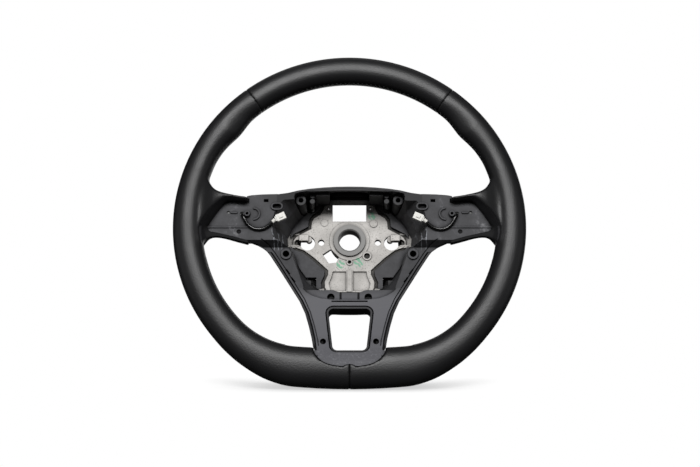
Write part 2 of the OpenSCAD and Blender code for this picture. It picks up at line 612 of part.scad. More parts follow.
// A fine groove in the foam beside the cover's lip, from the switch seat down the lower spoke.
edge_groove = [5.4, 6.4];
function beside_lip(i, inset) = let (n = inward(i)) [lip[i][0] + n[0] * inset, lip[i][1] + n[1] * inset];
module edge_grooves() {
    both_sides() intersection() {
        block(concat([for (i = [13 : 22]) beside_lip(i, edge_groove[0])],
                     [for (i = [22 : -1 : 13]) beside_lip(i, edge_groove[1])]), 20, 120);
        translate([0, 0, -1.2]) above_profile(140);
    }
}
module foam_spokes() {
    both_sides() {
        difference() {
            side_spoke(leather + glue, 20);
            seat_opening(leather + glue, seat_front - tuck - 0.5 - glue);
        }
        block(grown(seat_foot, glue + 0.3), seat_front - 4, seat_front + 2);
        block(seat_floor, seat_front - 13, seat_front + 2);
    }
    bowl(cover_wall + cover_gap, 60);
    // the lower spoke's surface, carried from the cover's lip onto the rim
    translate([-33.8, -141, 70.4]) cube([67.6, 12, 12]);
}
module foam_body() {
    color([0.16, 0.16, 0.17]) in_car() difference() {
        union() {
            difference() {
                union() {
                    closed_sweep(rim_run, function (a) grip_section(a, leather + glue));
                    foam_spokes();
                }
                front_cut();
                well();
                block(mirrored(ledge_left), ledge_front, 100);
                translate([0, 0, -40]) cylinder(r = 72, h = 40 + floor_back, $fn = 24);
                block(closed_round([for (p = plate_left) p * 1.004]), -30, 30);
            }
            // flat tabs under the upper bar, either side of its middle recess
            intersection() {
                bowl(cover_wall + cover_gap, 20);
                both_sides() block([[-36.4, 50], [-21.6, 50], [-21.6, 40.6], [-36.4, 40.6]], 6, 42);
            }
            both_sides() seat_details();
            trim_bosses();
        }
        both_sides() seat_cuts();
        trim_holes();
        cover_passages();
        edge_grooves();
        // the dark slots either side of the middle pad and the groove below it
        both_sides() translate([-10.6, -74.6, ledge_front - 4]) cube([2.2, 9.6, 20]);
        translate([-19, -77.4, 44]) cube([38, 1.4, 20]);
        // the snap slots along the slanting edges and the parting lines of the tongue's two tabs
        both_sides() {
            for (start = [[-68, -42.7], [-62.4, -51.4]])
                translate([start[0], start[1], 43]) rotate(-52) cube([6.6, 1.7, 20]);
            translate([-33.4, -143.4, 78]) cube([0.8, 10, 20]);
            translate([-38.5, -134.2, 74]) cube([5.9, 0.8, 20]);
        }
        // the cover's collar in the window
        window_prism(cover_wall + cover_gap, -20, 100);
        arm_ribs(cast_clearance);
        // the casting runs out from the plate with no foam behind it
        both_sides() translate([-67, arm_height - arm_width / 2 - 1.6, -20]) cube([13, arm_width + 3.2, 20.6]);
        legs(cast_clearance);
        closed_sweep(rim_run, function (a) ring_section(cast_clearance));
    }
}

// Rear cover
module cover_bosses() {
    both_sides() {
        // screw boss and twin locating pins in the upper pocket
        hull() {
            translate([-53, 33, -12]) cylinder(r = 6.4, h = 1, $fn = 12);
            translate([-52.4, 36, 40]) cylinder(r = 5.6, h = 1, $fn = 12);
        }
        for (y = [35, 41.2]) hull() {
            translate([-42.6, 40, -14]) cylinder(r = 3.4, h = 1, $fn = 12);
            translate([-40, y, 39]) cylinder(r = 2.8, h = 1, $fn = 12);
        }
        // box tower in the lower pocket
        hull() {
            translate([-48.4, -56, -10]) cube([11, 13, 1]);
            translate([-48.2, -55.4, 8]) cube([6.4, 10, 1]);
        }
    }
    // bar along the top of the lip
    block(mirrored([[-45, 60], [-45, 43.2], [-30, 43.8], [-14, 44.2]]), 45.4, 49.8);
}
module rear_cover() {
    color([0.12, 0.12, 0.13]) in_car() difference() {
        union() {
            difference() {
                bowl(0, 0);
                bowl(cover_wall, 30);
            }
            intersection() {
                bowl(0.3, 10);
                union() {
                    cover_bosses();
                    difference() {
                        window_prism(cover_wall, 0, 100);
                        above_profile(60);
                    }
                }
            }
        }
        translate([0, 0, -40]) cylinder(r = column_radius, h = 40 - cover_back + cover_wall + 1, $fn = 48);
        window_prism(0, -40, 120);
        both_sides() translate([-52.4, 36, 20]) cylinder(r = 2.7, h = 40, $fn = 12);
    }
}

// Screws that hold the rear cover, deep in the ledge's two holes
module cover_screws() {
    color([0.45, 0.45, 0.47]) in_car() for (side = [-1, 1]) translate([side * 19.8, -70.6, 24.3]) {
        difference() {
            cylinder(r = cover_hole - 0.3, h = 3);
            translate([0, 0, 1.2]) cylinder(r = 1.6, h = 3, $fn = 6);
        }
    }
}

// Leads and connectors
lead_route = [[-114, 15, 56], [-114, 14.8, 60], [-113.6, 13.6, 63.4], [-112, 10.6, 65], [-109.6, 6, 64.8],
              [-106, 1.4, 64.2], [-101, -1.6, 63.9], [-95, -2.4, 63.9], [-89.6, -1, 64.2], [-85, 2, 64.8],
              [-81.4, 5.2, 65.4], [-78.6, 7.8, 65.8]];
lead_sides = 8;
function unit(v) = v / norm(v);
function lead_direction(route, i) =
    unit(route[min(i + 1, len(route) - 1)] - route[max(i - 1, 0)]);
function lead_ring(route, i) =
    let (d = lead_direction(route, i), s = unit(cross(d, [0, 0.3, 1])), t = cross(s, d))
    [for (k = [0 : lead_sides - 1])
        route[i] + lead_diameter / 2 * (s * cos(360 * k / lead_sides) - t * sin(360 * k / lead_sides))];
module lead(route) {
    rings = [for (i = [0 : len(route) - 1]) lead_ring(route, i)];
    last = (len(rings) - 1) * lead_sides;
    polyhedron([for (r = rings) each r],
        concat(band_faces(len(rings), lead_sides, false),
               [[for (i = [0 : lead_sides - 1]) i]], [[for (i = [lead_sides - 1 : -1 : 0]) last + i]]));
}
module lead_left() {
    color([0.05, 0.05, 0.05]) in_car() lead(lead_route);
}
module lead_right() {
    color([0.05, 0.05, 0.05]) in_car() mirror([1, 0, 0]) lead(lead_route);
}
connector_turn = 24;
module at_connector() {
    translate(lead_route[len(lead_route) - 1]) rotate([0, 0, connector_turn]) children();
}
module connector() {
    at_connector() difference() {
        union() {
            translate([1.6, -connector_width / 2, -connector_depth / 2]) cube([connector_length, connector_width, connector_depth]);
            translate([0.2, -connector_width / 2 + 1.2, -connector_depth / 2 + 0.7]) cube([3, connector_width - 2.4, connector_depth - 1.4]);
            translate([4.5, -1.4, connector_depth / 2 - 0.2]) cube([4.5, 2.8, 1.1]);
        }
        for (side = [-1, 1]) translate([5, side * 1.9 - 0.9, -1]) cube([connector_length, 1.8, 2]);
    }
}
module connector_left() {
    color([0.93, 0.92, 0.88]) in_car() connector();
}
module connector_right() {
    color([0.93, 0.92, 0.88]) in_car() mirror([1, 0, 0]) connector();
}
module terminals() {
    at_connector() for (side = [-1, 1])
        translate([5, side * 1.9 - 0.6, -0.6]) cube([connector_length - 5, 1.2, 1.2]);
}
module terminals_left() {
    color([0.72, 0.58, 0.3]) in_car() terminals();
}
module terminals_right() {
    color([0.72, 0.58, 0.3]) in_car() mirror([1, 0, 0]) terminals();
}

armature();
hub_bush();
foam_body();
leather_top();
leather_left();
leather_right();
rear_cover();
cover_screws();
lead_left();
lead_right();
connector_left();
connector_right();
terminals_left();
terminals_right();
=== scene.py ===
import json
import math

import bmesh
import bpy
import numpy as np
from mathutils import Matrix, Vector

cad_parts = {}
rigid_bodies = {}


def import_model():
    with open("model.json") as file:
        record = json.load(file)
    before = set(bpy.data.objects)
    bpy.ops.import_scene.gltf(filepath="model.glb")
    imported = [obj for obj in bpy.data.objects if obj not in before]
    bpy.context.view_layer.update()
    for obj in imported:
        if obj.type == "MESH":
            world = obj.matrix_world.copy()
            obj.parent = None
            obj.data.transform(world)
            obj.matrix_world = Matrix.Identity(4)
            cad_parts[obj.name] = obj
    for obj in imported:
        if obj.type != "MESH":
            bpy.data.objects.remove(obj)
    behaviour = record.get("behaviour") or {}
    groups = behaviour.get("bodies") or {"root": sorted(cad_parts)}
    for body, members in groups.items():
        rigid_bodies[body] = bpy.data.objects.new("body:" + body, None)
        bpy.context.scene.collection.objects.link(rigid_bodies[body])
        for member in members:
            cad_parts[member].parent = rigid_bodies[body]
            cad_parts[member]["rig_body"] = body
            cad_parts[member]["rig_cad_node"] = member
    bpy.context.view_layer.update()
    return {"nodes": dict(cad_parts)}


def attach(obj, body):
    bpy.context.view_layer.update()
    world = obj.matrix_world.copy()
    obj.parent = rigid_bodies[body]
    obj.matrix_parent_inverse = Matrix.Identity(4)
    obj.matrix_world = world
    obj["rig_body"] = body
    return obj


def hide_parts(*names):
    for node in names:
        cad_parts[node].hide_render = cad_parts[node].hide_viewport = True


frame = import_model()
bpy.ops.object.select_all(action="DESELECT")
scene = bpy.context.scene


# Camera
# The wheel is seen from the driver's side, 15 degrees from below its own axis, as it lies with
# its top a little nearer the camera.
LENS = 73.6
FILM_WIDTH = 36
CAMERA_PLACE = (0.0005, -1.5242, -0.3907)
CAMERA_TILT = math.radians(104.72)
camera_data = bpy.data.cameras.new("camera")
camera_data.lens = LENS
camera_data.sensor_width = FILM_WIDTH
camera = bpy.data.objects.new("camera", camera_data)
camera.location = CAMERA_PLACE
camera.rotation_euler = (CAMERA_TILT, 0, 0)
scene.collection.objects.link(camera)
scene.camera = camera


# Heating leads
# Two soft black sleeves with the rim heater's wires in them. Each comes out of a hole in its
# switch seat, sags across the seat and ends in a white connector.
LEAD_POINTS = [
    (-114, 15, 56), (-114, 14.8, 60), (-113.6, 13.6, 63.4), (-112, 10.6, 65), (-109.6, 6, 64.8),
    (-106, 1.4, 64.2), (-101, -1.6, 63.9), (-95, -2.4, 63.9), (-89.6, -1, 64.2), (-85, 2, 64.8),
    (-81.4, 5.2, 65.4), (-78.6, 7.8, 65.8),
]
LEAD_DIAMETER = 0.0032
MILLIMETRE = 0.001


def in_car(x, y, z):
    """A point of the wheel's drawing, in millimetres, as a point of the frame, in metres."""
    return Vector((x, -z, y)) * MILLIMETRE


def through(points, count):
    """More points on a smooth curve through the given ones."""
    line = []
    for i in range(len(points) - 1):
        before = points[max(i - 1, 0)]
        start = points[i]
        end = points[i + 1]
        after = points[min(i + 2, len(points) - 1)]
        for step in range(count):
            t = step / count
            line.append(
                0.5 * (2 * start + (end - before) * t
                       + (2 * before - 5 * start + 4 * end - after) * t * t
                       + (3 * start - before - 3 * end + after) * t ** 3)
            )
    line.append(points[-1])
    return line


def new_material(name, colour, roughness, metallic=0.0):
    """A material with one Principled shader, and that shader's node."""
    material = bpy.data.materials.new(name)
    material.use_nodes = True
    shader = material.node_tree.nodes["Principled BSDF"]
    shader.inputs["Base Color"].default_value = (*colour, 1)
    shader.inputs["Roughness"].default_value = roughness
    shader.inputs["Metallic"].default_value = metallic
    return material, shader


def node_in(material, kind, **values):
    """A new node in a material, with its inputs set by name."""
    node = material.node_tree.nodes.new(kind)
    for name, value in values.items():
        node.inputs[name.replace("_", " ")].default_value = value
    return node


def join(material, output, target):
    material.node_tree.links.new(output, target)


sleeve_black, sleeve_shader = new_material("sleeve_black", (0.003, 0.003, 0.003), 0.24)
place = node_in(sleeve_black, "ShaderNodeTexCoord")
sleeve_noise = node_in(sleeve_black, "ShaderNodeTexNoise", Scale=900, Detail=3)
join(sleeve_black, place.outputs["Object"], sleeve_noise.inputs["Vector"])
sleeve_bump = node_in(sleeve_black, "ShaderNodeBump", Strength=0.08, Distance=0.0003)
join(sleeve_black, sleeve_noise.outputs["Fac"], sleeve_bump.inputs["Height"])
join(sleeve_black, sleeve_bump.outputs["Normal"], sleeve_shader.inputs["Normal"])

leads = {}
for side_name, side in (("left", 1), ("right", -1)):
    route = through([in_car(side * x, y, z) for x, y, z in LEAD_POINTS], 3)
    length = sum((b - a).length for a, b in zip(route, route[1:]))
    curve = bpy.data.curves.new("heating_lead_" + side_name, "CURVE")
    curve.dimensions = "3D"
    curve.bevel_depth = LEAD_DIAMETER / 2
    curve.bevel_resolution = 5
    curve.use_fill_caps = True
    spline = curve.splines.new("POLY")
    spline.points.add(len(route) - 1)
    for point, target in zip(spline.points, route):
        point.co = (*target, 1)
    spline.use_smooth = True
    lead = bpy.data.objects.new("heating_lead_" + side_name, curve)
    scene.collection.objects.link(lead)
    curve.materials.append(sleeve_black)
    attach(lead, "root")
    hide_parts("lead_" + side_name)
    leads[side_name] = (lead, route, length)


# Leather panels
# Three panels of matt black leather are sewn round the padded rim. The side ones also wrap the
# side spokes, with an opening over each switch seat, and all meet at three seams.
RIM_WIDTH = 370.0
CORNER_RADIUS = 110.0
BOTTOM_RADIUS = 600.0
BOTTOM_DROP = 153.0
DISH = 76.0
GRIP_OUTER = 15.2
GRIP_INNER = 14.2
GRIP_DEPTH = 14.6
THUMB_REST = 3.4
BOTTOM_HALF_WIDTH = 21.0
SEAM_ANGLE = 53.0
LEATHER = 1.4
ROUNDNESS = 2.25
top_radius = RIM_WIDTH / 2 - GRIP_OUTER
corner_reach = top_radius - CORNER_RADIUS
bottom_centre = BOTTOM_RADIUS - BOTTOM_DROP
corner_sine = ((BOTTOM_RADIUS - CORNER_RADIUS) ** 2 - corner_reach ** 2 - bottom_centre ** 2) / (
    2 * corner_reach * bottom_centre)
corner_start = -math.degrees(math.asin(corner_sine))
corner_centre = corner_reach * np.array([math.cos(math.radians(corner_start)),
                                         math.sin(math.radians(corner_start))])
corner_end = math.degrees(math.atan2(corner_centre[1] - bottom_centre, corner_centre[0]))
INNER_HALF = [(-90, BOTTOM_HALF_WIDTH), (-84, BOTTOM_HALF_WIDTH - 0.6), (-76, BOTTOM_HALF_WIDTH - 1.2),
              (-60, GRIP_INNER + 4.6), (-45, GRIP_INNER + 3.6), (-25, GRIP_INNER + 2.4),
              (0, GRIP_INNER + 1.6), (18, GRIP_INNER - 0.4), (26, GRIP_INNER - 1.2),
              (32, GRIP_INNER - 0.2), (40, GRIP_INNER + THUMB_REST), (43, GRIP_INNER + THUMB_REST - 1),
              (48, GRIP_INNER), (90, GRIP_INNER)]
OUTER_HALF = [(-90, BOTTOM_HALF_WIDTH), (-80, BOTTOM_HALF_WIDTH), (-70, BOTTOM_HALF_WIDTH - 1.4),
              (-60, GRIP_OUTER + 2.2), (-50, GRIP_OUTER + 0.8), (-40, GRIP_OUTER), (90, GRIP_OUTER)]
DEPTH_HALF = [(-90, GRIP_DEPTH), (-20, GRIP_DEPTH), (0, GRIP_DEPTH + 0.6), (25, GRIP_DEPTH + 0.2),
              (38, GRIP_DEPTH + 1), (48, GRIP_DEPTH), (90, GRIP_DEPTH)]


def rim_point(angle):
    """The grip's middle line where its outward direction is angle, on the right half."""
    way = np.array([math.cos(math.radians(angle)), math.sin(math.radians(angle))])
    if angle >= corner_start:
        return top_radius * way
    if angle >= corner_end:
        return corner_centre + CORNER_RADIUS * way
    return np.array([0, bottom_centre]) + BOTTOM_RADIUS * way


def from_table(table, angle):
    """A value read from a table of angles, evened out over two degrees."""
    angles, values = zip(*table)
    near = [-2, -1, 0, 1, 2]
    share = [0.12, 0.22, 0.32, 0.22, 0.12]
    return sum(w * np.interp(angle + d, angles, values) for d, w in zip(near, share))


def thumb_hollow(angle, u):
    """How deep the front of the grip is hollowed for the thumb, u being 1 outside and -1 inside."""
    along = np.interp(angle, [38, 40.5, 46, 52], [0, 1, 1, 0])
    across = np.interp(-u, [-0.15, 0.45, 1], [0, 1, 1])
    return 1.15 * along * across


def grip_ring(angle, layer, sides):
    """One section of the grip, square to its middle line, with a layer taken off all round."""
    on_right = 180 - angle if angle > 90 else angle
    centre = rim_point(on_right)
    way = np.array([math.cos(math.radians(on_right)), math.sin(math.radians(on_right))])
    inner = from_table(INNER_HALF, on_right) - layer
    outer = from_table(OUTER_HALF, on_right) - layer
    depth = from_table(DEPTH_HALF, on_right) - layer
    ring = []
    for i in range(sides):
        turn = -2 * math.pi * i / sides
        u = math.copysign(abs(math.cos(turn)) ** (2 / ROUNDNESS), math.cos(turn))
        v = math.copysign(abs(math.sin(turn)) ** (2 / ROUNDNESS), math.sin(turn))
        hollow = 0 if layer or v < 0 else thumb_hollow(on_right, u)
        flat = centre + way * u * (outer if u > 0 else inner)
        x = -flat[0] if angle > 90 else flat[0]
        ring.append(in_car(x, flat[1], DISH + v * depth - hollow))
    return ring


def loft(name, rings):
    """A closed solid through rings of points, with a flat face at each end."""
    mesh = bpy.data.meshes.new(name)
    count = len(rings[0])
    points = [p for ring in rings for p in ring]
    faces = []
    for k in range(len(rings) - 1):
        for i in range(count):
            j = (i + 1) % count
            faces.append((k * count + i, k * count + j, (k + 1) * count + j, (k + 1) * count + i))
    faces.append(tuple(range(count))[::-1])
    faces.append(tuple((len(rings) - 1) * count + i for i in range(count)))
    mesh.from_pydata(points, [], faces)
    solid = bpy.data.objects.new(name, mesh)
    scene.collection.objects.link(solid)
    tidy(solid)
    return solid


def tidy(solid):
    """Doubled points merged, and all faces turned outwards."""
    shape = bmesh.new()
    shape.from_mesh(solid.data)
    bmesh.ops.remove_doubles(shape, verts=shape.verts, dist=1e-7)
    bmesh.ops.recalc_face_normals(shape, faces=shape.faces)
    shape.to_mesh(solid.data)
    shape.free()


def use_modifier(solid, kind, **values):
    """A modifier with these settings, applied at once."""
    modifier = solid.modifiers.new(kind.lower(), kind)
    for name, value in values.items():
        setattr(modifier, name, value)
    bpy.ops.object.select_all(action="DESELECT")
    solid.select_set(True)
    bpy.context.view_layer.objects.active = solid
    bpy.ops.object.modifier_apply(modifier=modifier.name)


def combine(solid, tool, operation):
    """A boolean with a tool that is used up."""
    use_modifier(solid, "BOOLEAN", object=tool, operation=operation, solver="MANIFOLD")
    bpy.data.objects.remove(tool)


def grip_part(name, low, high, layer, step=1.5, sides=48):
    angles = np.linspace(low, high, max(3, int(abs(high - low) / step) + 1))
    return loft(name, [grip_ring(a, layer, sides) for a in angles])


# Each station is x, top, bottom and back of the right spoke, from the rim inwards.
SPOKE = [(168, 68, -28, 61.6), (156, 62, -22, 56), (150.5, 52, -15, 54.4), (147.5, 45, -12, 53.6),
         (143.5, 39.5, -10.4, 52.6), (138, 36.6, -10.2, 51.4), (130, 34.6, -11.4, 50.2),
         (118, 32.4, -14.4, 48.2), (107, 31, -17, 47)]
# How far forward the leather of the spoke stands, from the hub end out to the rim
SPOKE_FRONT = [(107, 75), (118, 75.6), (130, 76.4), (138, 77.6), (144, 79.8), (148, 82.6), (152, 85.8),
               (156, 87.6), (162, 86.8), (168, 83)]
FRONT_CORNER = 2.5
BACK_CORNER = 6
CORNER_POINTS = 6


def spoke_ring(side, x, top, bottom, back, layer):
    """A section of the spoke: square corners in front, rounder ones behind."""
    front = np.interp(x, *zip(*SPOKE_FRONT)) - layer
    top, bottom, back = top - layer, bottom + layer, back + layer
    small = FRONT_CORNER - 0.8 * layer
    large = BACK_CORNER - layer
    corners = ((top - small, front - small, small, 0),
               (bottom + small, front - small, small, 90),
               (bottom + large, back + large, large, 180),
               (top - large, back + large, large, 270))
    ring = []
    for cy, cz, r, start in corners:
        for i in range(CORNER_POINTS):
            turn = math.radians(start + 90 * i / (CORNER_POINTS - 1))
            ring.append(in_car(side * x, cy + r * math.cos(turn), cz + r * math.sin(turn)))
    return ring


def spoke_part(name, side, layer, stretch=0.0):
    stations = [Vector(s) for s in SPOKE]
    fine = through(stations, 4)
    rings = [spoke_ring(side, *s, layer) for s in fine]
    if stretch:
        x, top, bottom, back = SPOKE[-1]
        rings.append(spoke_ring(side, x - stretch, top, bottom, back, layer))
    return loft(name, rings)


def prism(name, outline, low, high, side=1):
    """A block with this outline in the wheel's plane, from depth low to depth high."""
    rings = [[in_car(side * x, y, z) for x, y in outline] for z in (low, high)]
    return loft(name, rings)


# The opening's outline where the leather is tucked in at the seat, and at the spoke's front.
SEAT_FOOT = [(100, 27.4), (112, 27.9), (126, 28.6), (131.5, 27), (136.6, 21.5), (142.6, 13.6), (147.6, 5.8),
             (150.6, 0.4), (149.8, -3.2), (146.4, -4.9), (135.6, -7.2), (122, -10.4), (111.1, -13.5),
             (100, -16.6)]
SEAT_BRIM = [(100, 27.6), (112, 28.4), (126, 30.6), (132.5, 29.6), (138.5, 25), (146, 16), (151.5, 7),
             (155.3, -0.6), (156.6, -9), (152, -24), (136.4, -38), (122.6, -42), (111.6, -45), (100, -48)]
SEAT_FRONT = 62.0
TUCK = 1.5
BRIM = 78.0
TONGUE = [(38, -118), (38, -134), (36.6, -138.5), (33.4, -143), (29, -147.4), (22.6, -150.6), (14, -152.6),
          (6.4, -153.2), (3.6, -151.4), (0, -151)]
TONGUE_FLOOR = DISH + 2
PASSAGE = [(36.6, -137), (36.6, -99), (-36.6, -99), (-36.6, -137)]
PASSAGE_BACK = 40
PAST_FRONT = 100
FINE = 0.00095
ROLL = 34


def smooth_outline(points, count):
    fine = through([Vector((x, y, 0)) for x, y in points], count)
    return [(p.x, p.y) for p in fine]


def both_halves(points):
    return points + [(-x, y) for x, y in reversed(points)]


def grown(points, d):
    """An outline grown by d, square to its sides."""
    count = len(points)
    out = []
    for i in range(count):
        here = Vector(points[i])
        a = (here - Vector(points[i - 1])).normalized()
        b = (Vector(points[(i + 1) % count]) - here).normalized()
        middle = Vector((a.y + b.y, -a.x - b.x)).normalized()
        corner = max(0.5, middle.dot(Vector((a.y, -a.x))))
        out.append(tuple(here - middle * d / corner))
    return out


def opening(name, side, d, low):
    """The space over a switch seat, with its sloping wall moved out by d."""
    foot = smooth_outline(grown(SEAT_FOOT, d), 4)
    brim = smooth_outline(grown(SEAT_BRIM, d), 4)
    levels = ((foot, low), (foot, SEAT_FRONT), (brim, BRIM), (brim, BRIM + 20))
    return loft(name, [[in_car(side * x, y, z) for x, y in outline] for outline, z in levels])


def soft_skin(solid, rolled=None):
    """Remeshed and relaxed, so that every edge turns over softly, as leather does."""
    use_modifier(solid, "REMESH", mode="VOXEL", voxel_size=FINE, use_smooth_shade=True)
    if rolled:
        group = solid.vertex_groups.new(name="rolled")
        group.add([v.index for v in solid.data.vertices if rolled(v.co)], 1.0, "REPLACE")
        use_modifier(solid, "SMOOTH", factor=0.5, iterations=ROLL, vertex_group="rolled")
        solid.vertex_groups.clear()
    use_modifier(solid, "SMOOTH", factor=0.5, iterations=5)


def near_opening(point):
    """Whether a point of the skin lies round a switch seat's opening."""
    return 0.1 < abs(point.x) < 0.17 and -0.03 < point.z < 0.055 and point.y < -0.064


def open_below(leather):
    """The tongue of foam and the way into the lower spoke cut out of a piece of leather."""
    combine(leather, prism("tongue", both_halves(TONGUE), TONGUE_FLOOR, PAST_FRONT), "DIFFERENCE")
    combine(leather, prism("passage", PASSAGE, PASSAGE_BACK, PAST_FRONT), "DIFFERENCE")


SEAM_HALF_GAP = 0.05
BOTTOM_HALF_GAP = 0.02
panels = {}
panel_top = grip_part("leather_panel_top", SEAM_ANGLE + SEAM_HALF_GAP, 180 - SEAM_ANGLE - SEAM_HALF_GAP, 0)
soft_skin(panel_top)
combine(panel_top, grip_part("inside", SEAM_ANGLE - 2, 182 - SEAM_ANGLE, LEATHER, 3, 32), "DIFFERENCE")
panels["top"] = panel_top
for side_name, side in (("right", 1), ("left", -1)):
    low = -90 + BOTTOM_HALF_GAP
    high = SEAM_ANGLE - SEAM_HALF_GAP
    if side < 0:
        low, high = 180 - high, 180 - low
    panel = grip_part("leather_panel_" + side_name, low, high, 0)
    combine(panel, spoke_part("spoke", side, 0), "UNION")
    combine(panel, opening("opening", side, 0, SEAT_FRONT - TUCK), "DIFFERENCE")
    open_below(panel)
    soft_skin(panel, near_opening)
    inside = grip_part("inside", low - 2, high + 2, LEATHER, 3, 32)
    combine(inside, spoke_part("inside", side, LEATHER, 3), "UNION")
    combine(inside, opening("lining", side, LEATHER, SEAT_FRONT - TUCK - 0.6), "DIFFERENCE")
    combine(panel, inside, "DIFFERENCE")
    panels[side_name] = panel

leather_black, leather_shader = new_material("leather_black", (0.0075, 0.0075, 0.0082), 0.45)
leather_shader.inputs["Specular IOR Level"].default_value = 0.42
place = node_in(leather_black, "ShaderNodeTexCoord")
cells = node_in(leather_black, "ShaderNodeTexVoronoi", Scale=950, Randomness=1.0)
cells.feature = "SMOOTH_F1"
creases = node_in(leather_black, "ShaderNodeTexNoise", Scale=420, Detail=4, Roughness=0.6)
patches = node_in(leather_black, "ShaderNodeTexNoise", Scale=26, Detail=3)
for texture in (cells, creases, patches):
    join(leather_black, place.outputs["Object"], texture.inputs["Vector"])
grain_bump = node_in(leather_black, "ShaderNodeBump", Strength=0.35, Distance=0.0003)
crease_bump = node_in(leather_black, "ShaderNodeBump", Strength=0.3, Distance=0.0003)
join(leather_black, creases.outputs["Fac"], crease_bump.inputs["Height"])
join(leather_black, cells.outputs["Distance"], grain_bump.inputs["Height"])
join(leather_black, crease_bump.outputs["Normal"], grain_bump.inputs["Normal"])
join(leather_black, grain_bump.outputs["Normal"], leather_shader.inputs["Normal"])
wear = leather_black.node_tree.nodes.new("ShaderNodeMapRange")
wear.inputs["To Min"].default_value = 0.39
wear.inputs["To Max"].default_value = 0.5
join(leather_black, patches.outputs["Fac"], wear.inputs["Value"])
# The tucked-in lip under each switch seat is rough cut and dull
parts = node_in(leather_black, "ShaderNodeSeparateXYZ")
join(leather_black, place.outputs["Object"], parts.inputs["Vector"])
out_along = leather_black.node_tree.nodes.new("ShaderNodeMath")
out_along.operation = "ABSOLUTE"
join(leather_black, parts.outputs["X"], out_along.inputs[0])
dull = leather_black.node_tree.nodes.new("ShaderNodeMix")
dull.inputs["B"].default_value = 1.0
join(leather_black, wear.outputs["Result"], dull.inputs["A"])
join(leather_black, dull.outputs["Result"], leather_shader.inputs["Roughness"])

# Where two panels meet, their hems are folded in and sewn, and only a dark line shows.
hem_black, hem_shader = new_material("hem_black", (0.003, 0.003, 0.003), 0.95)
hem_shader.inputs["Specular IOR Level"].default_value = 0.1
HEM_SINK = 0.6
HEM_FLOOR = LEATHER - 0.05
HEMS = [("right", SEAM_ANGLE, 0.4), ("left", 180 - SEAM_ANGLE, 0.4), ("bottom", -90, 0.13)]
for name, angle, half in HEMS:
    hem = grip_part("hem_" + name, angle - half, angle + half, HEM_SINK, half)
    core = grip_part("inside", angle - 2 * half, angle + 2 * half, HEM_FLOOR, half)
    combine(hem, core, "DIFFERENCE")
    if name == "bottom":
        open_below(hem)
    hem.data.materials.clear()
    hem.data.materials.append(hem_black)
    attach(hem, "root")

for name, panel in panels.items():
    panel.data.materials.clear()
    panel.data.materials.append(leather_black)
    bpy.ops.object.select_all(action="DESELECT")
    panel.select_set(True)
    bpy.context.view_layer.objects.active = panel
    bpy.ops.object.shade_smooth_by_angle(angle=math.radians(40))
    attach(panel, "root")
    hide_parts("leather_" + name)


# Rim stitching
# The leather closes on the inner side of the rim, where one row of black thread is drawn to and
# fro across the joint.
def tube(name, runs, radius, material):
    """Thin round strings along runs of points, in one piece."""
    curve = bpy.data.curves.new(name, "CURVE")
    curve.dimensions = "3D"
    curve.bevel_depth = radius
    curve.bevel_resolution = 2
    curve.use_fill_caps = True
    for run in runs:
        spline = curve.splines.new("POLY")
        spline.points.add(len(run) - 1)
        for point, target in zip(spline.points, run):
            point.co = (*target, 1)
    curve.materials.append(material)
    string = bpy.data.objects.new(name, curve)
    scene.collection.objects.link(string)
    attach(string, "root")
    return string


thread_black, _ = new_material("thread_black", (0.1, 0.1, 0.105), 0.6)
STITCH_ROW = 25
STITCH_PITCH = 1.7
STITCH_HALF = 0.0012
STITCH_RADIUS = 0.00032
JOINT_RADIUS = 0.0003
STITCHED = ((24, 52), (54, 126), (128, 156), (-76, -14), (194, 256))
stitches = []
joints = []
for first, last in STITCHED:
    joint = []
    for angle in np.arange(first, last, STITCH_PITCH):
        ring = grip_ring(angle, 0, 48)
        ahead = grip_ring(angle + STITCH_PITCH / 2, 0, 48)
        middle = ring[STITCH_ROW]
        across = (ring[STITCH_ROW + 1] - ring[STITCH_ROW - 1]).normalized() * STITCH_HALF
        along = (ahead[STITCH_ROW] - middle) * 0.5
        stitches.append([middle - across - along, middle + across + along])
        joint.append(middle.copy())
    joints.append(joint)
tube("rim_stitches", stitches, STITCH_RADIUS, thread_black)
tube("rim_joint", joints, JOINT_RADIUS, hem_black)


# Foam body
# Skinned foam is moulded in one piece round the casting: the rim's padding, the two switch
# seats and the V-shaped lower spoke. Its skin is smooth, dark grey and scuffed by handling.
CURVE_FACET = 0.0075
FLAT_BEND = 9


def dress(node_name, piece_name, slot_name, angle, *materials):
    """A merged copy of a solid of the frame, which it replaces, smooth over its curved parts only."""
    source = frame["nodes"][node_name]
    piece = source.copy()
    piece.data = source.data.copy()
    piece.name = piece_name
    piece.data.name = piece_name
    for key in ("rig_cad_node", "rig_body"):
        if key in piece:
            del piece[key]
    piece.parent = None
    scene.collection.objects.link(piece)
    piece.data.materials.clear()
    for material in materials:
        piece.data.materials.append(material)
    shape = bmesh.new()
    shape.from_mesh(piece.data)
    bmesh.ops.remove_doubles(shape, verts=shape.verts, dist=2e-6)
    bmesh.ops.dissolve_limit(shape, angle_limit=math.radians(0.4), verts=shape.verts, edges=shape.edges)
    width = {f: 2 * f.calc_area() / max(e.calc_length() for e in f.edges) for f in shape.faces}
    for face in shape.faces:
        face.smooth = True
    for edge in shape.edges:
        if len(edge.link_faces) != 2:
            edge.smooth = False
            continue
        a, b = edge.link_faces
        narrow = max(width[a], width[b]) < CURVE_FACET
        bend = edge.calc_face_angle(0)
        edge.smooth = bend < math.radians(angle if narrow else FLAT_BEND)
    shape.to_mesh(piece.data)
    shape.free()
    use_modifier(piece, "WEIGHTED_NORMAL", mode="FACE_AREA_WITH_ANGLE", weight=100, keep_sharp=True)
    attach(piece, "root")
    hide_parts(node_name)
    return piece


